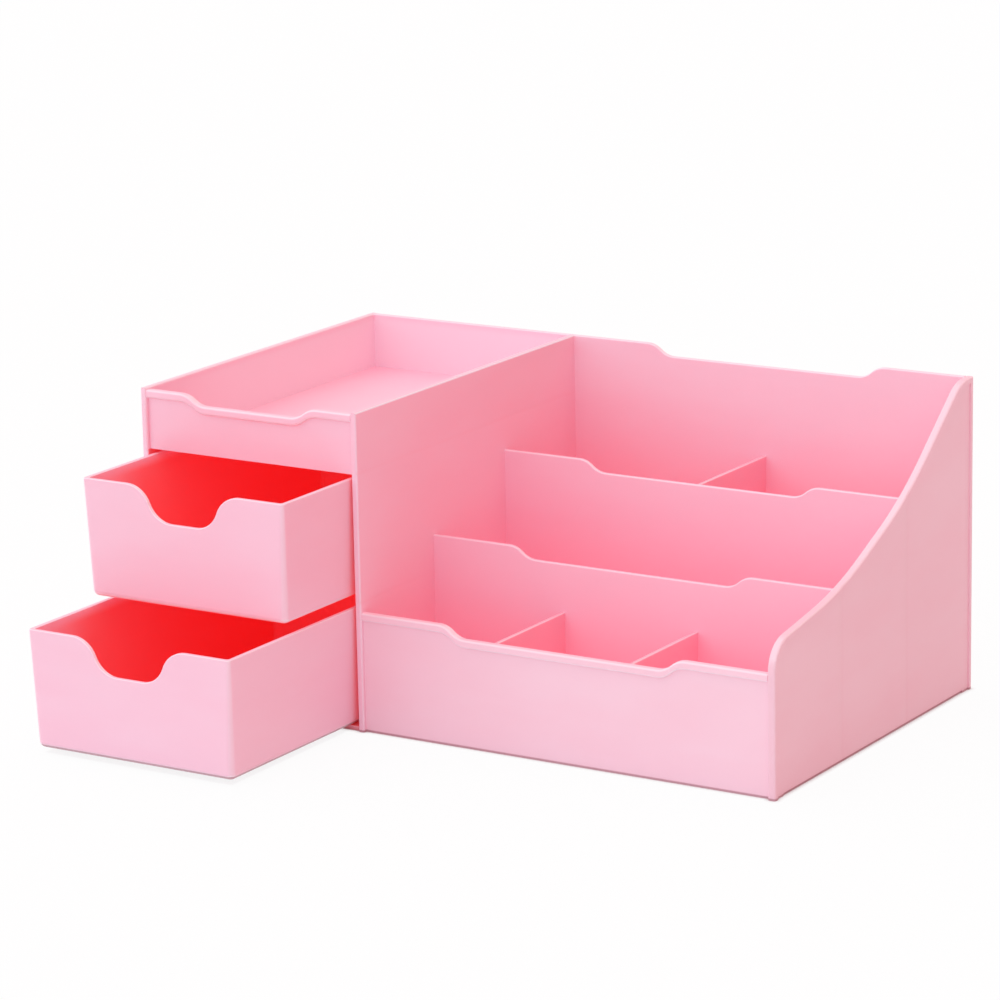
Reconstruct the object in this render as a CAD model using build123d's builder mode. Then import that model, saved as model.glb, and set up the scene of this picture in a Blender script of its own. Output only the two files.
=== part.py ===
from build123d import *
from math import radians, tan
import os

os.makedirs("parts", exist_ok=True)

# Overall sizes in millimetres. X runs to the right, Y to the back, Z up.
# The origin lies on the table under the middle of the case.
case_width = 300.0
case_depth = 175.0
case_height = 135.0
tower_width = 108.0

# Plate thicknesses
side_thickness = 2.8
rim_thickness = 3.4
back_thickness = 2.2
wall_thickness = 2.0
divider_thickness = 1.8
floor_thickness = 2.0
drawer_thickness = 2.0

# Compartments: heights of the stepped walls, each wall's distance from the front, cells in the front row
front_height = 51.0
tier_front_height = 71.5
tier_front_setback = 56.0
tier_back_height = 96.0
tier_back_setback = 113.5
front_cells = 3

# Dip in a top edge: half its width at the mouth and at the flat bottom, and its depth
row_dip_mouth = 57.5
row_dip_flat = 44.5
row_dip_depth = 5.0
tray_dip_mouth = 34.5
tray_dip_flat = 21.0
tray_dip_depth = 4.5

# Tray on the tower, and the bead along the tray's front and the compartments' front
tray_front_drop = 0.8
tray_depth = 24.2
face_recess = 1.7
bead_height = 3.4
bead_setback = 0.2
bead_round = 1.0

# S-shaped edge of the right panel: straight runs past the stepped walls with a bend at each corner,
# and the limit of a bend as a share of its half of a run
nose_rise = 11.7
nose_radius = 13.2
slope_radius = 175.0
crest_length = 11.0
crest_radius = 20.0
bend_limit_share = 0.9
rim_height = 2.4
field_recess = 0.6

# Low relief along the foot of each outer side, which leaves a foot at its ends
foot_length = 8.0
relief_height = 1.2
relief_depth = 1.0

# Drawers: their play in the bays, how much each wall leans in, and the rounding of their corners
drawer_side_clearance = 1.2
drawer_head_clearance = 1.9
drawer_back_clearance = 0.5
slide_clearance = 0.3
drawer_setback = 1.0
drawer_draft = 1.3
drawer_base_corner = 3.0
drawer_rim_corner = 1.8
drawer_inner_base_corner = 1.8
drawer_inner_rim_corner = 1.0
drawer_bottom_round = 2.6
drawer_floor_round = 1.4
drawer_edge_round = 0.4
shelf_setback = 14.0

# Finger notch in a drawer's front, sized like a dip
notch_mouth = 28.0
notch_flat = 6.0
notch_depth = 15.0

# How far each drawer is pulled out as it stands here
upper_pull = 48.3
lower_pull = 88.4

# Tabs on the plates' ends, and the play in their blind sockets
tab_length = 12.0
tab_thickness = 1.0
tab_reach = 1.0
tab_play = 0.15
tab_place_share = 0.25

# Rounding of the plates' free edges, and its limit as a share of the plate
panel_round = 0.8
wall_round = 0.7
divider_round = 0.6
round_limit_share = 0.4

# How far cuts run past what they cut
overrun = 5.0

# Places worked out from the sizes above
left = -case_width / 2
right = case_width / 2
front = -case_depth / 2
back = case_depth / 2
left_inner = left + side_thickness
mid_right = left + tower_width
mid_left = mid_right - side_thickness
right_inner = right - rim_thickness
back_inner = back - back_thickness
face_front = front + face_recess
face_back = face_front + wall_thickness
bead_front = front + bead_setback
tower_floor_front = front + drawer_setback
shelf_front = front + shelf_setback
tier_front_face = front + tier_front_setback
tier_front_rear = tier_front_face + wall_thickness
tier_back_face = front + tier_back_setback
tier_back_rear = tier_back_face + wall_thickness
tower_center = (left_inner + mid_left) / 2
row_center = (mid_right + right_inner) / 2
cell_pitch = (right_inner - mid_right) / front_cells
front_divider_height = front_height - row_dip_depth
back_divider_height = tier_back_height - row_dip_depth
tray_front_height = case_height - tray_front_drop
tray_floor_top = case_height - tray_depth
tray_floor_bottom = tray_floor_top - floor_thickness

# The shelf halves the tower's height under the tray, and the two drawers are alike
bay_height = (tray_floor_bottom - 2 * floor_thickness) / 2
shelf_bottom = floor_thickness + bay_height
shelf_top = shelf_bottom + floor_thickness
drawer_width = mid_left - left_inner - 2 * drawer_side_clearance
drawer_depth = back_inner - front - drawer_setback - drawer_back_clearance
drawer_height = bay_height - slide_clearance - drawer_head_clearance

row_dip = (row_center, row_dip_mouth, row_dip_flat, row_dip_depth)
tray_dip = (tower_center, tray_dip_mouth, tray_dip_flat, tray_dip_depth)


def middle(low, high):
    return (low + high) / 2


# A long edge has two tabs, each this share of the edge from its end
def two_spots(low, high):
    inset = tab_place_share * (high - low)
    return [low + inset, high - inset]


def limited(radius, *thicknesses):
    return min(radius, round_limit_share * min(thicknesses))


# Where the plates plug in: a level plate's height and tab depths, an upright's depth and tab heights
tray_floor_seat = (middle(tray_floor_bottom, tray_floor_top), two_spots(face_back, back_inner))
shelf_seat = (middle(shelf_bottom, shelf_top), two_spots(shelf_front, back_inner))
tower_floor_seat = (floor_thickness / 2, two_spots(tower_floor_front, back_inner))
row_floor_seat = (floor_thickness / 2, two_spots(face_back, back_inner))
tray_front_seat = (middle(face_front, face_back), [middle(tray_floor_bottom, tray_front_height)])
front_seat = (middle(face_front, face_back), [middle(floor_thickness, front_height)])
tier_front_seat = (middle(tier_front_face, tier_front_rear), two_spots(floor_thickness, tier_front_height))
tier_back_seat = (middle(tier_back_face, tier_back_rear), two_spots(floor_thickness, tier_back_height))
back_seat = (middle(back_inner, back), two_spots(0, case_height))

# The same for what plugs in front to back: its place along X and its tab heights
mid_seat = (middle(mid_left, mid_right), two_spots(floor_thickness, case_height))
front_divider_heights = [middle(floor_thickness, front_divider_height)]
front_divider_left_seat = (mid_right + cell_pitch, front_divider_heights)
front_divider_right_seat = (right_inner - cell_pitch, front_divider_heights)
back_divider_seat = (row_center, two_spots(floor_thickness, back_divider_height))

# A tab lies half in its own plate and half in the neighbour that holds it
level_tab = (2 * tab_reach, tab_length, tab_thickness)
upright_tab = (2 * tab_reach, tab_thickness, tab_length)
cross_tab = (tab_thickness, 2 * tab_reach, tab_length)


def level_spots(x, *seats):
    return [(x, y, z) for z, depths in seats for y in depths]


def upright_spots(x, *seats):
    return [(x, y, z) for y, heights in seats for z in heights]


def cross_spots(y, *seats):
    return [(x, y, z) for x, heights in seats for z in heights]


def add_tabs(spots, size):
    with Locations(*spots):
        Box(*size)


def cut_sockets(spots, size):
    with Locations(*spots):
        Box(*[side + 2 * tab_play for side in size], mode=Mode.SUBTRACT)


def add_plate(low, high):
    with Locations(tuple(middle(a, b) for a, b in zip(low, high))):
        Box(*[b - a for a, b in zip(low, high)])


# The dip's own area: two tangent arcs lead down from each side to its flat bottom
def add_dip(top, center, mouth, flat, depth, mode):
    turn = middle(mouth, flat)
    with BuildLine() as outline:
        for side in (-1, 1):
            turn_point = (center + side * turn, top - depth / 2)
            TangentArc((center + side * mouth, top), turn_point, tangent=(-side, 0))
            TangentArc((center + side * flat, top - depth), turn_point, tangent=(side, 0))
        Line((center - flat, top - depth), (center + flat, top - depth))
        Polyline(
            (center - mouth, top),
            (center - mouth, top + overrun),
            (center + mouth, top + overrun),
            (center + mouth, top),
        )
    make_face(outline.edges(), mode=mode)


def add_dipped_wall(ends, depths, heights, dip, mode=Mode.ADD):
    x_start, x_end = ends
    y_start, y_end = depths
    bottom, top = heights
    with BuildSketch(Plane.XZ.offset(-y_end)) as face:
        with Locations((middle(x_start, x_end), middle(bottom, top))):
            Rectangle(x_end - x_start, top - bottom)
        add_dip(top, *dip, mode=Mode.SUBTRACT)
    extrude(face.sketch, amount=y_end - y_start, mode=mode)


# Rounds the long edges along the top of a wall that runs left to right
def round_top(top, depth, thickness):
    long_edges = edges().filter_by(Axis.Y, reverse=True)
    fillet(long_edges.filter_by_position(Axis.Z, top - depth, top), limited(wall_round, thickness))


# A dipped front whose bead stands out over a recessed face
def add_beaded_front(ends, heights, dip):
    bottom, top = heights
    add_dipped_wall(ends, (bead_front, face_back), heights, dip)
    below_bead = (bottom - overrun, top - bead_height)
    add_dipped_wall(ends, (bead_front - overrun, face_front), below_bead, dip, Mode.SUBTRACT)
    bead_edges = edges().filter_by(Axis.Z, reverse=True).group_by(Axis.Y)[0]
    fillet(bead_edges, limited(bead_round, bead_height, face_back - bead_front))
    rear_edges = edges().filter_by(Axis.Z, reverse=True).group_by(Axis.Y)[-1]
    rear_top = rear_edges.filter_by_position(Axis.Z, top - dip[-1], top)
    fillet(rear_top, limited(wall_round, wall_thickness))


def finish(piece, label):
    piece.part.label = label
    export_step(piece.part, f"parts/{label}.step")


# The tower's left side and the wall between the tower and the compartments
def add_side(x_start, x_end, y_end):
    add_plate((x_start, front, 0), (x_end, y_end, case_height))
    top_edges = edges().filter_by(Axis.Y).group_by(Axis.Z)[-1]
    front_edges = edges().filter_by(Axis.Z).group_by(Axis.Y)[0]
    fillet(top_edges + front_edges, limited(panel_round, x_end - x_start))


def cut_foot_relief(x):
    with Locations((x, 0, 0)):
        Box(2 * relief_depth, case_depth - 2 * foot_length, 2 * relief_height, mode=Mode.SUBTRACT)


with BuildPart() as left_side_panel:
    add_side(left, left_inner, back)
    cut_foot_relief(left)
    cut_sockets(level_spots(left_inner, tray_floor_seat, shelf_seat, tower_floor_seat), level_tab)
    cut_sockets(upright_spots(left_inner, tray_front_seat, back_seat), upright_tab)
finish(left_side_panel, "left_side_panel")

with BuildPart() as mid_panel:
    add_side(mid_left, mid_right, back_inner)
    cut_sockets(level_spots(mid_left, tray_floor_seat, shelf_seat, tower_floor_seat), level_tab)
    cut_sockets(upright_spots(mid_left, tray_front_seat), upright_tab)
    cut_sockets(level_spots(mid_right, row_floor_seat), level_tab)
    cut_sockets(upright_spots(mid_right, front_seat, tier_front_seat, tier_back_seat), upright_tab)
    add_tabs(cross_spots(back_inner, mid_seat), cross_tab)
finish(mid_panel, "mid_panel")


# The right panel's outline: up the front, round the nose, past the tops of the stepped walls,
# over the crest and down the back. The crest has the whole of the last run for its bend.
def add_right_outline(bottom):
    corners = [
        Vector(front, bottom),
        Vector(front, front_height + nose_rise),
        Vector(tier_front_face, tier_front_height),
        Vector(tier_back_face, tier_back_height),
        Vector(back - crest_length, case_height),
        Vector(back, case_height),
    ]
    runs = [end - start for start, end in zip(corners, corners[1:])]
    rooms = [bend_limit_share * run.length / 2 for run in runs]
    rooms[-1] = bend_limit_share * crest_length
    radii = []
    for corner, radius in enumerate((nose_radius, slope_radius, slope_radius, crest_radius)):
        turn = radians(runs[corner].get_angle(runs[corner + 1]))
        radii.append(min(radius, min(rooms[corner : corner + 2]) / tan(turn / 2)))
    with BuildLine() as outline:
        FilletPolyline(*corners, radius=radii)
        Polyline((back, case_height), (back, bottom), (front, bottom))
    make_face(outline.edges())


with BuildPart() as right_side_panel:
    with BuildSketch(Plane.YZ.offset(right_inner)):
        add_right_outline(0)
    extrude(amount=rim_thickness)
    outline_edges = edges().filter_by(Axis.X, reverse=True)
    free_edges = outline_edges.filter_by_position(Axis.Z, 0, case_height, (False, True))
    fillet(free_edges, limited(panel_round, rim_thickness, rim_height))
    with BuildSketch(Plane.YZ.offset(right)):
        add_right_outline(-overrun)
        offset(amount=-rim_height, mode=Mode.REPLACE)
    extrude(amount=-field_recess, mode=Mode.SUBTRACT)
    cut_foot_relief(right)
    cut_sockets(level_spots(right_inner, row_floor_seat), level_tab)
    right_spots = upright_spots(right_inner, front_seat, tier_front_seat, tier_back_seat, back_seat)
    cut_sockets(right_spots, upright_tab)
finish(right_side_panel, "right_side_panel")

with BuildPart() as back_panel:
    add_dipped_wall((left_inner, right_inner), (back_inner, back), (0, case_height), row_dip)
    round_top(case_height, row_dip_depth, back_thickness)
    add_tabs(upright_spots(left_inner, back_seat) + upright_spots(right_inner, back_seat), upright_tab)
    cut_sockets(cross_spots(back_inner, mid_seat, back_divider_seat), cross_tab)
finish(back_panel, "back_panel")


# Level plates of the tower
def add_tower_level(y_start, bottom, seat):
    add_plate((left_inner, y_start, bottom), (mid_left, back_inner, bottom + floor_thickness))
    add_tabs(level_spots(left_inner, seat) + level_spots(mid_left, seat), level_tab)


with BuildPart() as tray_floor:
    add_tower_level(face_back, tray_floor_bottom, tray_floor_seat)
finish(tray_floor, "tray_floor")

with BuildPart() as drawer_shelf:
    add_tower_level(shelf_front, shelf_bottom, shelf_seat)
finish(drawer_shelf, "drawer_shelf")

with BuildPart() as tower_floor:
    add_tower_level(tower_floor_front, 0, tower_floor_seat)
finish(tower_floor, "tower_floor")

with BuildPart() as tray_front:
    add_beaded_front((left_inner, mid_left), (tray_floor_bottom, tray_front_height), tray_dip)
    tray_tabs = upright_spots(left_inner, tray_front_seat) + upright_spots(mid_left, tray_front_seat)
    add_tabs(tray_tabs, upright_tab)
finish(tray_front, "tray_front")


# Floor, front, stepped walls and dividers of the compartments
row_ends = (mid_right, right_inner)


def add_row_tabs(seat):
    add_tabs(upright_spots(mid_right, seat) + upright_spots(right_inner, seat), upright_tab)


def add_tier_wall(face, rear, height, seat):
    add_dipped_wall(row_ends, (face, rear), (floor_thickness, height), row_dip)
    round_top(height, row_dip_depth, wall_thickness)
    add_row_tabs(seat)


with BuildPart() as compartment_floor:
    add_plate((mid_right, face_back, 0), (right_inner, back_inner, floor_thickness))
    floor_tabs = level_spots(mid_right, row_floor_seat) + level_spots(right_inner, row_floor_seat)
    add_tabs(floor_tabs, level_tab)
finish(compartment_floor, "compartment_floor")

with BuildPart() as front_panel:
    add_beaded_front(row_ends, (0, front_height), row_dip)
    add_row_tabs(front_seat)
    cut_sockets(cross_spots(face_back, front_divider_left_seat, front_divider_right_seat), cross_tab)
finish(front_panel, "front_panel")

with BuildPart() as tier_wall_front:
    add_tier_wall(tier_front_face, tier_front_rear, tier_front_height, tier_front_seat)
    cut_sockets(cross_spots(tier_front_face, front_divider_left_seat, front_divider_right_seat), cross_tab)
finish(tier_wall_front, "tier_wall_front")

with BuildPart() as tier_wall_back:
    add_tier_wall(tier_back_face, tier_back_rear, tier_back_height, tier_back_seat)
    cut_sockets(cross_spots(tier_back_rear, back_divider_seat), cross_tab)
finish(tier_wall_back, "tier_wall_back")


def make_divider(label, depths, top, seat):
    y_start, y_end = depths
    x = seat[0]
    half = divider_thickness / 2
    with BuildPart() as divider:
        add_plate((x - half, y_start, floor_thickness), (x + half, y_end, top))
        fillet(edges().filter_by(Axis.Y).group_by(Axis.Z)[-1], limited(divider_round, divider_thickness))
        add_tabs(cross_spots(y_start, seat) + cross_spots(y_end, seat), cross_tab)
    finish(divider, label)


front_row = (face_back, tier_front_face)
back_row = (tier_back_rear, back_inner)
make_divider("front_divider_left", front_row, front_divider_height, front_divider_left_seat)
make_divider("front_divider_right", front_row, front_divider_height, front_divider_right_seat)
make_divider("back_divider", back_row, back_divider_height, back_divider_seat)


# A drawer is one moulding: a drafted tray with rounded corners and a finger notch in its front
def add_drafted_block(mouth_size, corners, center_y, heights, mode=Mode.ADD):
    width, depth = mouth_size
    base_corner, rim_corner = corners
    low, high = heights
    narrowing = 2 * drawer_draft * (high - low) / drawer_height
    with BuildSketch(Plane.XY.offset(low)) as base:
        with Locations((tower_center, center_y)):
            RectangleRounded(width - narrowing, depth - narrowing, base_corner)
    with BuildSketch(Plane.XY.offset(high)) as mouth:
        with Locations((tower_center, center_y)):
            RectangleRounded(width, depth, rim_corner)
    loft([base.sketch, mouth.sketch], mode=mode)


def make_drawer(label, rest_height, pull):
    drawer_front = front + drawer_setback - pull
    center_y = drawer_front + drawer_depth / 2
    bottom = rest_height + slide_clearance
    inner_floor = bottom + drawer_thickness
    rim = bottom + drawer_height
    outer_size = (drawer_width, drawer_depth)
    inner_size = (drawer_width - 2 * drawer_thickness, drawer_depth - 2 * drawer_thickness)
    outer_corners = (drawer_base_corner, drawer_rim_corner)
    inner_corners = (drawer_inner_base_corner, drawer_inner_rim_corner)
    with BuildPart() as drawer:
        add_drafted_block(outer_size, outer_corners, center_y, (bottom, rim))
        fillet(edges().group_by(Axis.Z)[0], drawer_bottom_round)
        add_drafted_block(inner_size, inner_corners, center_y, (inner_floor, rim), Mode.SUBTRACT)
        floor_edges = faces().filter_by(Axis.Z).sort_by(Axis.Z)[1].edges()
        fillet(floor_edges, drawer_floor_round)
        with BuildSketch(Plane.XZ.offset(-drawer_front)):
            add_dip(rim, tower_center, notch_mouth, notch_flat, notch_depth, mode=Mode.ADD)
        extrude(amount=overrun, both=True, mode=Mode.SUBTRACT)
        rim_edges = faces().sort_by(Axis.Z)[-1].edges()
        fillet(rim_edges, limited(drawer_edge_round, drawer_thickness))
    finish(drawer, label)


make_drawer("upper_drawer", shelf_top, upper_pull)
make_drawer("lower_drawer", floor_thickness, lower_pull)
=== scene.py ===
import bpy
import math
from mathutils import Matrix, Vector


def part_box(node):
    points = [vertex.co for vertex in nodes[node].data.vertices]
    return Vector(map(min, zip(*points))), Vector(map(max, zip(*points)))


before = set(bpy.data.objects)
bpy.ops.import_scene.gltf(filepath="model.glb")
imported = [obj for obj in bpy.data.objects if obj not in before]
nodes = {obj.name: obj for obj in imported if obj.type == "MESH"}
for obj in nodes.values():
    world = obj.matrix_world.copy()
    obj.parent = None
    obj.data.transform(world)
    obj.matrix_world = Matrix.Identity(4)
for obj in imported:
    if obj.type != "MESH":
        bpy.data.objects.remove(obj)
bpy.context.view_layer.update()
millimetre = 0.001
tableTop = 0.0
white = (1.0, 1.0, 1.0, 1.0)
black = (0.0, 0.0, 0.0, 1.0)
print("frame loaded,", len(nodes), "pieces")


# small helpers for building node trees

def fillInputs(tree, node, links):
    for socket, source in links.items():
        if isinstance(source, bpy.types.NodeSocket):
            tree.links.new(source, node.inputs[socket])
        else:
            node.inputs[socket].default_value = source
    return node


def newGroup(name, inputs, outputs):
    group = bpy.data.node_groups.new(name, "ShaderNodeTree")
    for label, kind, value in inputs:
        socket = group.interface.new_socket(label, in_out="INPUT", socket_type="NodeSocket" + kind)
        socket.default_value = value
    for label in outputs:
        group.interface.new_socket(label, in_out="OUTPUT", socket_type="NodeSocketFloat")
    return group, group.nodes.new("NodeGroupInput").outputs, group.nodes.new("NodeGroupOutput").inputs


def addNode(tree, kind, links=None, **settings):
    node = tree.nodes.new("ShaderNode" + kind)
    for label, value in settings.items():
        setattr(node, label, value)
    return fillInputs(tree, node, links or {})


def addGroup(tree, group, links):
    node = tree.nodes.new("ShaderNodeGroup")
    node.node_tree = group
    return fillInputs(tree, node, links)


def addMath(tree, operation, *sources):
    return addNode(tree, "Math", dict(enumerate(sources)), operation=operation).outputs[0]


def addVector(tree, operation, *sources):
    return addNode(tree, "VectorMath", dict(enumerate(sources)), operation=operation).outputs[0]


def addDot(tree, first, second):
    return addNode(tree, "VectorMath", {0: first, 1: second}, operation="DOT_PRODUCT").outputs["Value"]


def addParts(tree, vector):
    return addNode(tree, "SeparateXYZ", {0: vector}).outputs


def addNoise(tree, place, size, detail):
    scale = addMath(tree, "DIVIDE", 1.0, size)
    return addNode(tree, "TexNoise", {"Vector": place, "Scale": scale, "Detail": detail}).outputs[0]


def addMix(tree, share, first, second):
    return addNode(tree, "MixRGB", {0: share, 1: first, 2: second}).outputs[0]


def addTint(tree, mask, share, colour, tint):
    return addMix(tree, addMath(tree, "MULTIPLY", mask, share), colour, tint)


def addRamp(tree, value, start, end, kind="LINEAR"):
    return addNode(tree, "MapRange", {"Value": value, "From Min": start, "From Max": end},
                   interpolation_type=kind).outputs[0]


# 1 for every ray that should find the plain white of the background
def addSeenWhite(tree):
    ray = addNode(tree, "LightPath").outputs
    seen = addMath(tree, "MAXIMUM", ray["Is Camera Ray"], ray["Is Glossy Ray"])
    return addMath(tree, "MAXIMUM", seen, ray["Is Transmission Ray"])


# satin skin of a moulding: fine grain, slow waviness, a roughness that drifts, and clouds of the melt
def makeSatinSkin():
    inputs = [("Grain Size", "Float", 0.0004), ("Grain Detail", "Float", 2.0),
              ("Wave Size", "Float", 0.06), ("Wave Detail", "Float", 1.0), ("Wave Share", "Float", 0.6),
              ("Roughness", "Float", 0.4), ("Roughness Drift", "Float", 0.06),
              ("Cloud Spread", "Vector", (1, 1, 3)), ("Cloud Detail", "Float", 3.0),
              ("Cloud Start", "Float", 0.35), ("Cloud End", "Float", 0.65)]
    group, given, out = newGroup("satinSkin", inputs, ["Height", "Roughness", "Cloud"])
    place = addNode(group, "TexCoord").outputs["Object"]
    grain = addNoise(group, place, given["Grain Size"], given["Grain Detail"])
    wave = addNoise(group, place, given["Wave Size"], given["Wave Detail"])
    spread = addVector(group, "MULTIPLY", place, given["Cloud Spread"])
    melt = addNoise(group, spread, given["Wave Size"], given["Cloud Detail"])
    height = addMath(group, "MULTIPLY_ADD", wave, given["Wave Share"], grain)
    drift = addMath(group, "MULTIPLY_ADD", wave, given["Roughness Drift"], given["Roughness"])
    group.links.new(height, out["Height"])
    group.links.new(drift, out["Roughness"])
    group.links.new(addRamp(group, melt, given["Cloud Start"], given["Cloud End"]), out["Cloud"])
    return group


# painted highlight on rounded edges, which face none of the six main directions squarely; those of
# upright corners count for less
def makeRoundEdge():
    inputs = [("Square", "Float", 0.985), ("Round", "Float", 0.90), ("Level", "Float", 0.05),
              ("Tilted", "Float", 0.30), ("Upright Share", "Float", 0.25)]
    group, given, out = newGroup("roundEdge", inputs, ["Edge"])
    normal = addNode(group, "TexCoord").outputs["Normal"]
    sides = addParts(group, addVector(group, "ABSOLUTE", normal))
    largest = addMath(group, "MAXIMUM", addMath(group, "MAXIMUM", sides[0], sides[1]), sides[2])
    edge = addRamp(group, largest, given["Square"], given["Round"])
    tilted = addRamp(group, sides[2], given["Level"], given["Tilted"])
    share = addMath(group, "MAXIMUM", tilted, given["Upright Share"])
    group.links.new(addMath(group, "MULTIPLY", edge, share), out["Edge"])
    return group


# mask for the painted light and shade inside a box-shaped hollow, growing with the depth under its mouth
# and behind its front
def makeHollow():
    inputs = [("Low", "Vector", (0, 0, 0)), ("High", "Vector", (1, 1, 1)), ("Wall", "Float", 0.001),
              ("Lean", "Float", 0.0), ("Blur", "Float", 0.0004), ("Mouth Fade", "Float", 0.005),
              ("Front Fade", "Float", 0.05), ("Turned", "Float", -0.3), ("Facing", "Float", -0.9),
              ("Back Share", "Float", 1.0)]
    group, given, out = newGroup("hollow", inputs, ["Deep"])
    coordinates = addNode(group, "TexCoord").outputs
    place = coordinates["Object"]
    low = addParts(group, addVector(group, "SUBTRACT", place, given["Low"]))
    high = addParts(group, addVector(group, "SUBTRACT", given["High"], place))
    across = addMath(group, "MINIMUM", low[0], high[0])
    along = addMath(group, "MINIMUM", low[1], high[1])
    # leaning walls stand further in towards the floor
    height = addMath(group, "ADD", low[2], high[2])
    lean = addMath(group, "DIVIDE", addMath(group, "MULTIPLY", high[2], given["Lean"]), height)
    level = addMath(group, "SUBTRACT", addMath(group, "MINIMUM", across, along), lean)
    room = addMath(group, "SUBTRACT", addMath(group, "MINIMUM", level, low[2]), given["Wall"])
    inside = addRamp(group, room, 0.0, given["Blur"])
    mouth = addRamp(group, high[2], 0.0, given["Mouth Fade"], "SMOOTHSTEP")
    behind = addRamp(group, low[1], 0.0, given["Front Fade"], "SMOOTHSTEP")
    # the back wall faces the front and may be less deep
    forward = addParts(group, coordinates["Normal"])["Y"]
    backWall = addNode(group, "MapRange", {
        "Value": forward, "From Min": given["Turned"], "From Max": given["Facing"],
        "To Min": 1.0, "To Max": given["Back Share"]}).outputs[0]
    fade = addMath(group, "MULTIPLY", addMath(group, "MULTIPLY", mouth, behind), backWall)
    group.links.new(addMath(group, "MULTIPLY", inside, fade), out["Deep"])
    return group


# a sink mark: the faint line that a wall leaves on the far side of the panel that carries it
def makeSinkMark():
    inputs = [("Along", "Vector", (0, 0, 1)), ("Place", "Float", 0.0), ("Width", "Float", 0.001),
              ("Far Side", "Vector", (1, 0, 0)), ("Facing", "Float", 0.5)]
    group, given, out = newGroup("sinkMark", inputs, ["Sink"])
    coordinates = addNode(group, "TexCoord").outputs
    spot = addDot(group, coordinates["Object"], given["Along"])
    away = addMath(group, "SUBTRACT", spot, given["Place"])
    share = addMath(group, "DIVIDE", away, given["Width"])
    falloff = addMath(group, "MULTIPLY", addMath(group, "MULTIPLY", share, share), -1.0)
    line = addMath(group, "EXPONENT", falloff)
    facing = addDot(group, coordinates["Normal"], given["Far Side"])
    shown = addMath(group, "GREATER_THAN", facing, given["Facing"])
    group.links.new(addMath(group, "MULTIPLY", line, shown), out["Sink"])
    return group


# painted shadow: a thin dark line along the lowest edge, where a piece stands on the table or passes
# close over it
def makeFootShadowLine():
    inputs = [("Foot", "Float", 0.0), ("Height", "Float", 0.001), ("Blur", "Float", 0.0004),
              ("Flat", "Float", -0.98), ("Tilted", "Float", -0.90)]
    group, given, out = newGroup("footShadowLine", inputs, ["Foot Line"])
    coordinates = addNode(group, "TexCoord").outputs
    height = addParts(group, coordinates["Object"])["Z"]
    top = addMath(group, "ADD", given["Foot"], given["Height"])
    line = addRamp(group, addMath(group, "SUBTRACT", top, height), 0.0, given["Blur"])
    # the underside itself gets no painted shadow
    facing = addParts(group, coordinates["Normal"])["Z"]
    shown = addRamp(group, facing, given["Flat"], given["Tilted"])
    group.links.new(addMath(group, "MULTIPLY", line, shown), out["Foot Line"])
    return group


satinSkin = makeSatinSkin()
roundEdge = makeRoundEdge()
hollow = makeHollow()
sinkMark = makeSinkMark()
footShadowLine = makeFootShadowLine()
print("shared effects made")

plastic = {
    "colour": (0.995, 0.635, 0.748, 1.0),
    "cloudColour": (0.995, 0.590, 0.708, 1.0),
    "cloudShare": 0.7,
    "edgeHighlightColour": (1.0, 0.840, 0.905, 1.0),
    "edgeHighlightShare": 0.7,
    "sinkShadeColour": (0.990, 0.580, 0.690, 1.0),
    "sinkShadeShare": 0.45,
    "sinkWidth": 0.7 * millimetre,
    "sinkDepth": 1.2,
    "footShadowColour": (0.480, 0.220, 0.255, 1.0),
    "footShadowShare": 0.75,
    "footShadowHeight": 1.1 * millimetre,
    "glowStrength": 0.024,
    "roughness": 0.40,
    "roughnessDrift": 0.06,
    "grainSize": 0.4 * millimetre,
    "waveSize": 60 * millimetre,
    "waveShare": 0.6,
    "bumpDepth": 0.03 * millimetre,
    "gloss": 0.45,
}


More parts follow.
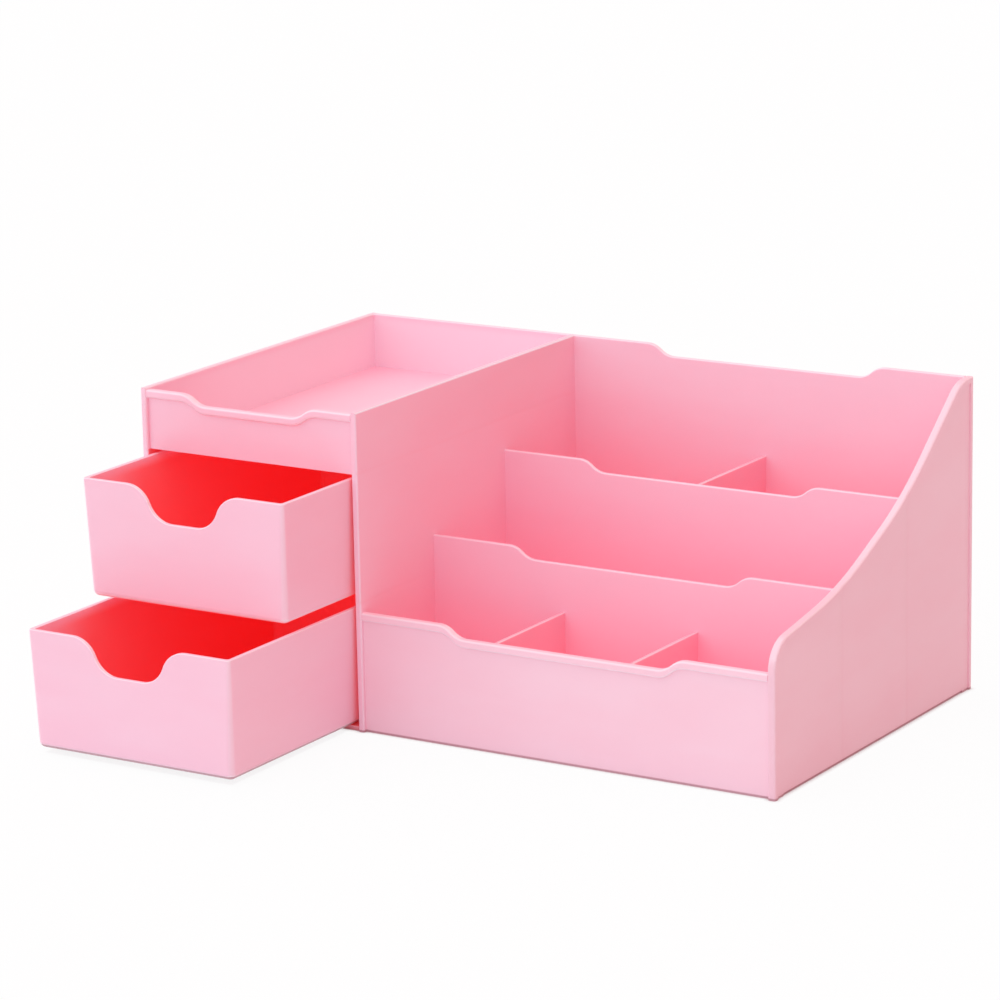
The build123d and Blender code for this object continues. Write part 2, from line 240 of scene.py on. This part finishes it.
# spaces: the hollows that the piece encloses, which get painted light and shade; sinks: the marks of the
# walls that it carries;
# foot: the height of the lowest edge of a piece that stands on the table or close over it, which gets a
# painted shadow
def makePlastic(name, look, spaces=(), sinks=(), foot=None):
    material = bpy.data.materials.new(name)
    material.use_nodes = True
    tree = material.node_tree
    shader = tree.nodes["Principled BSDF"]
    skin = addGroup(tree, satinSkin, {
        "Grain Size": look["grainSize"], "Wave Size": look["waveSize"], "Wave Share": look["waveShare"],
        "Roughness": look["roughness"], "Roughness Drift": look["roughnessDrift"]}).outputs
    colour = addTint(tree, skin["Cloud"], look["cloudShare"], look["colour"], look["cloudColour"])
    # painted highlight: the rounded edges are paler
    edge = addGroup(tree, roundEdge, {}).outputs["Edge"]
    colour = addTint(tree, edge, look["edgeHighlightShare"], colour, look["edgeHighlightColour"])
    height = skin["Height"]
    for sink in sinks:
        mark = addGroup(tree, sinkMark, {**sink, "Width": look["sinkWidth"]}).outputs["Sink"]
        height = addMath(tree, "MULTIPLY_ADD", mark, -look["sinkDepth"], height)
        # the bump is the real mark; the darker tint along it is painted shade
        colour = addTint(tree, mark, look["sinkShadeShare"], colour, look["sinkShadeColour"])
    # painted shadow: a thin dark line along the lowest edge
    if foot is not None:
        footShadowInputs = {"Foot": foot, "Height": look["footShadowHeight"]}
        line = addGroup(tree, footShadowLine, footShadowInputs).outputs["Foot Line"]
        colour = addTint(tree, line, look["footShadowShare"], colour, look["footShadowColour"])
    glow = black
    for space in spaces:
        # painted light and shade inside each hollow
        insideLightShade = addGroup(tree, hollow, space["bounds"]).outputs["Deep"]
        colour = addMix(tree, insideLightShade, colour, space["insideLightShadeColour"])
        if space["glowColour"] != black:
            glow = addMix(tree, insideLightShade, glow, space["glowColour"])
    if glow != black:
        # painted light: a glow that stands in for the light coming through the thin walls
        tree.links.new(glow, shader.inputs["Emission Color"])
        shader.inputs["Emission Strength"].default_value = look["glowStrength"]
    bump = addNode(tree, "Bump", {"Height": height, "Distance": look["bumpDepth"]}).outputs["Normal"]
    shader.inputs["Specular IOR Level"].default_value = look["gloss"]
    tree.links.new(colour, shader.inputs["Base Color"])
    tree.links.new(skin["Roughness"], shader.inputs["Roughness"])
    tree.links.new(bump, shader.inputs["Normal"])
    return material


def makeSpace(low, high, look):
    bounds = {"Low": low, "High": high, "Wall": look["wall"], "Lean": look["lean"],
              "Mouth Fade": look["mouthFade"], "Front Fade": look["frontFade"],
              "Back Share": look["backShare"]}
    return {"bounds": bounds, "insideLightShadeColour": look["insideLightShadeColour"], "glowColour": look["glowColour"]}


def dress(name, material):
    piece = nodes[name]
    piece.data.materials.clear()
    piece.data.materials.append(material)


rightward = Vector((1, 0, 0))
rearward = Vector((0, 1, 0))
upward = Vector((0, 0, 1))


# one mark for each wall, across the panel's far side
def makeSinks(walls, along, farSide):
    middles = [(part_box(wall)[0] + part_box(wall)[1]) / 2 for wall in walls]
    return [{"Along": along, "Place": middle.dot(along), "Far Side": farSide} for middle in middles]


# drawers: painted highlights on the rims, and a painted deep red for the light that bounces between the
# pink walls inside, with a little more painted glow in the upper one
drawer = {
    "edgeHighlightShare": 0.9,
    "insideLightShadeColour": (1.0, 0.235, 0.260, 1.0),
    "glowColour": (1.0, 0.06, 0.06, 1.0),
    "wall": 1.0 * millimetre,
    "lean": 1.3 * millimetre,
    "mouthFade": 5 * millimetre,
    "frontFade": 42 * millimetre,
    "backShare": 0.85,
    "footShadowHeight": 1.8 * millimetre,
    "glowStrength": {"upper_drawer": 0.032, "lower_drawer": 0.024},
}
for name in ("upper_drawer", "lower_drawer"):
    low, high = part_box(name)
    look = {**plastic, "edgeHighlightShare": drawer["edgeHighlightShare"], "footShadowHeight": drawer["footShadowHeight"],
            "glowStrength": drawer["glowStrength"][name]}
    # only the lower drawer gets the painted shadow at its foot
    foot = low.z if name == "lower_drawer" else None
    dress(name, makePlastic(name + "Satin", look, [makeSpace(low, high, drawer)], foot=foot))
print("drawers dressed")

# compartments: painted shade, the pink deepens a little towards their floor
compartment = {
    "insideLightShadeColour": (0.998, 0.585, 0.705, 1.0),
    "glowColour": black,
    "wall": -0.4 * millimetre,
    "lean": 0.0,
    "mouthFade": 135 * millimetre,
    "frontFade": 30 * millimetre,
    "backShare": 1.0,
}
rowsLow = Vector((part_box("mid_panel")[1].x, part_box("front_panel")[1].y, tableTop))
rowsHigh = Vector((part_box("right_side_panel")[0].x,
                   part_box("back_panel")[0].y,
                   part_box("back_panel")[1].z))
rows = makeSpace(rowsLow, rowsHigh, compartment)
compartmentSatin = makePlastic("compartmentSatin", plastic, [rows], foot=tableTop)
for name in ("compartment_floor", "tier_wall_front", "tier_wall_back"):
    dress(name, compartmentSatin)
print("compartments dressed")

# front panel: a little paler
frontPanel = {
    "colour": (0.995, 0.672, 0.762, 1.0),
    "cloudColour": (0.995, 0.630, 0.722, 1.0),
}
dress("front_panel", makePlastic("frontPanelSatin", {**plastic, **frontPanel}, [rows], foot=tableTop))
print("front panel dressed")

# dividers: a deeper pink, painted shade where they stand shadowed between the compartments
shadedDivider = {
    "colour": (0.995, 0.510, 0.617, 1.0),
    "cloudColour": (0.995, 0.490, 0.597, 1.0),
}
shadedDividerSatin = makePlastic("shadedDividerSatin", {**plastic, **shadedDivider})
for name in ("front_divider_left", "front_divider_right", "back_divider"):
    dress(name, shadedDividerSatin)
print("dividers dressed")

# right panel: a little duller as painted shade, with a broad rim whose painted highlight is less pale,
# and the stepped walls' wide marks
shadedRightPanel = {
    "colour": (0.945, 0.618, 0.700, 1.0),
    "cloudColour": (0.945, 0.575, 0.662, 1.0),
    "edgeHighlightShare": 0.5,
    "sinkShadeColour": (0.900, 0.540, 0.620, 1.0),
    "sinkShadeShare": 0.23,
    "sinkWidth": 1.8 * millimetre,
    "sinkDepth": 5.0,
}
wallSinks = makeSinks(["tier_wall_front", "tier_wall_back"], rearward, rightward)
rightSatin = makePlastic("shadedRightPanelSatin", {**plastic, **shadedRightPanel}, [rows], wallSinks, foot=tableTop)
dress("right_side_panel", rightSatin)
print("right panel dressed")

# tower: its bays get the drawers' painted deep red and glow, and its floors leave sink marks on the
# panels;
# the outer panels get a paler pink as painted light, the middle one has a painted highlight on its rim,
# and the tray's walls are paler inside with painted light
litOuterPanel = {
    "colour": (0.995, 0.680, 0.785, 1.0),
    "cloudColour": (0.995, 0.640, 0.750, 1.0),
    "sinkShadeShare": 0.3,
}
highlightMidPanel = {
    "edgeHighlightColour": (0.950, 0.875, 0.955, 1.0),
    "edgeHighlightShare": 1.0,
}
tower = {
    "insideLightShadeColour": drawer["insideLightShadeColour"],
    "glowColour": drawer["glowColour"],
    "skin": 0.4 * millimetre,
    "frontReach": 1 * millimetre,
    "wall": 0.0,
    "lean": 0.0,
    "mouthFade": 0.1 * millimetre,
    "frontFade": 2 * millimetre,
    "backShare": 0.6,
}
litTray = {
    "insideLightShadeColour": (0.995, 0.760, 0.850, 1.0),
    "glowColour": black,
    "wall": -0.4 * millimetre,
    "lean": 0.0,
    "mouthFade": 4 * millimetre,
    "frontFade": 60 * millimetre,
    "backShare": 1.0,
}
innerLow = Vector((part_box("left_side_panel")[1].x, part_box("mid_panel")[0].y, tableTop))
innerHigh = Vector((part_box("mid_panel")[0].x,
                    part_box("back_panel")[0].y,
                    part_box("back_panel")[1].z))
bayLow = innerLow - Vector((tower["skin"], tower["frontReach"], 0))
bayHigh = innerHigh + Vector((tower["skin"], tower["skin"], 0))
bayHigh.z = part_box("tray_floor")[0].z
bay = makeSpace(bayLow, bayHigh, tower)
trayLow = Vector((innerLow.x, innerLow.y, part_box("tray_floor")[1].z))
trayWalls = makeSpace(trayLow, innerHigh, litTray)
levels = ["tray_floor", "drawer_shelf"]
towerSinks = {
    "left_side_panel": makeSinks(levels, upward, -rightward),
    "mid_panel": makeSinks(levels, upward, rightward),
    "back_panel": makeSinks(["mid_panel", "back_divider"], rightward, rearward),
}
towerSpaces = {
    "left_side_panel": [bay, trayWalls],
    "mid_panel": [bay, trayWalls, rows],
    "back_panel": [bay, trayWalls, rows],
}
towerLooks = {"left_side_panel": litOuterPanel, "mid_panel": highlightMidPanel, "back_panel": litOuterPanel}
for name in ("left_side_panel", "mid_panel", "back_panel", "tray_floor", "drawer_shelf", "tower_floor"):
    spaces = towerSpaces.get(name, [bay])
    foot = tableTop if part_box(name)[0].z < plastic["footShadowHeight"] else None
    look = {**plastic, **towerLooks.get(name, {})}
    dress(name, makePlastic(name + "Satin", look, spaces, towerSinks.get(name, ()), foot))
dress("tray_front", makePlastic("trayFrontSatin", plastic))
print("tower dressed")

floorLook = {
    "colour": (0.82, 0.94, 0.94, 1.0),
    "roughness": 0.8,
    "size": 30.0,
    "whiteShare": 0.94,
    "contactShadowColour": (0.50, 0.32, 0.34, 1.0),
    "contactWhiteShare": 0.35,
    "contactReach": 2.4 * millimetre,
    "contactSamples": 4,
    "contactStart": 0.55,
    "contactEnd": 0.90,
}


# pale floor: nearly white to the camera, with a faint shadow and a painted contact shadow, a thin dark
# line at the object's foot
def makeFloor(look):
    half = look["size"] / 2
    mesh = bpy.data.meshes.new("floor")
    corners = [(-half, -half, tableTop), (half, -half, tableTop),
               (half, half, tableTop), (-half, half, tableTop)]
    mesh.from_pydata(corners, [], [(0, 1, 2, 3)])
    floor = bpy.data.objects.new("floor", mesh)
    bpy.context.scene.collection.objects.link(floor)
    material = bpy.data.materials.new("paleFloor")
    material.use_nodes = True
    tree = material.node_tree
    shader = tree.nodes["Principled BSDF"]
    shader.inputs["Roughness"].default_value = look["roughness"]
    # painted contact shadow: the floor's colour darkens where the object is close
    near = addNode(tree, "AmbientOcclusion", {"Distance": look["contactReach"]},
                   samples=look["contactSamples"]).outputs["AO"]
    clear = addRamp(tree, near, look["contactStart"], look["contactEnd"])
    shade = addMix(tree, clear, look["contactShadowColour"], look["colour"])
    tree.links.new(shade, shader.inputs["Base Color"])
    plainWhite = addNode(tree, "Emission", {"Color": white, "Strength": 1.0}).outputs[0]
    whiteness = addNode(tree, "MapRange", {
        "Value": clear, "To Min": look["contactWhiteShare"], "To Max": look["whiteShare"]}).outputs[0]
    share = addMath(tree, "MULTIPLY", addSeenWhite(tree), whiteness)
    mix = addNode(tree, "MixShader", {0: share, 1: shader.outputs[0], 2: plainWhite})
    tree.links.new(mix.outputs[0], tree.nodes["Material Output"].inputs["Surface"])
    mesh.materials.append(material)


dome = {
    "left": (1.30, 1.20, 1.27, 1.0),
    "right": (0.44, 0.08, 0.04, 1.0),
    "front": (0.74, 1.07, 1.20, 1.0),
    "back": (0.50, 0.45, 0.44, 1.0),
    "below": black,
    "top": (1.66, 1.16, 1.16, 1.0),
    "bounces": 32,
}


# soft dome of light with a colour for each side, blended by the squares of the direction's parts
def makeDome(look):
    world = bpy.data.worlds.new("softDome")
    bpy.context.scene.world = world
    world.use_nodes = True
    tree = world.node_tree
    soft = tree.nodes["Background"]
    direction = addParts(tree, addNode(tree, "TexCoord").outputs["Generated"])
    sides = (("left", "right"), ("front", "back"), ("below", "top"))
    total = Vector((0, 0, 0))
    for part, (negative, positive) in zip(direction, sides):
        colour = addMix(tree, addMath(tree, "GREATER_THAN", part, 0.0), look[negative], look[positive])
        share = addMath(tree, "MULTIPLY", part, part)
        scaled = addNode(tree, "VectorMath", {0: colour, "Scale": share}, operation="SCALE").outputs[0]
        total = addVector(tree, "ADD", total, scaled)
    tree.links.new(total, soft.inputs["Color"])
    plainWhite = addNode(tree, "Background", {"Color": white, "Strength": 1.0}).outputs[0]
    mix = addNode(tree, "MixShader", {0: addSeenWhite(tree), 1: soft.outputs[0], 2: plainWhite})
    tree.links.new(mix.outputs[0], tree.nodes["World Output"].inputs["Surface"])
    # pale plastic passes light on many times
    bpy.context.scene.cycles.max_bounces = look["bounces"]
    bpy.context.scene.cycles.diffuse_bounces = look["bounces"]


makeFloor(floorLook)
makeDome(dome)
bpy.context.scene.view_settings.view_transform = "Standard"
print("floor and dome of light made")

photoCamera = {
    "azimuth": 32.116,
    "elevation": 13.995,
    "roll": -1.161,
    "lens": 152.52,
    "sensor": 36.0,
    "place": (0.8961, -1.4731, 0.5145),
}


def makeCamera(look):
    azimuth, elevation, roll = (math.radians(look[word]) for word in ("azimuth", "elevation", "roll"))
    backward = Vector((math.sin(azimuth) * math.cos(elevation),
                       -math.cos(azimuth) * math.cos(elevation),
                       math.sin(elevation)))
    level = Vector((math.cos(azimuth), math.sin(azimuth), 0))
    upright = backward.cross(level)
    right = math.cos(roll) * level + math.sin(roll) * upright
    up = math.cos(roll) * upright - math.sin(roll) * level
    data = bpy.data.cameras.new("photoCamera")
    data.lens = look["lens"]
    data.sensor_width = look["sensor"]
    camera = bpy.data.objects.new("photoCamera", data)
    turn = Matrix((right, up, backward)).transposed().to_4x4()
    camera.matrix_world = Matrix.Translation(look["place"]) @ turn
    bpy.context.scene.collection.objects.link(camera)
    bpy.context.scene.camera = camera


makeCamera(photoCamera)
print("camera placed")
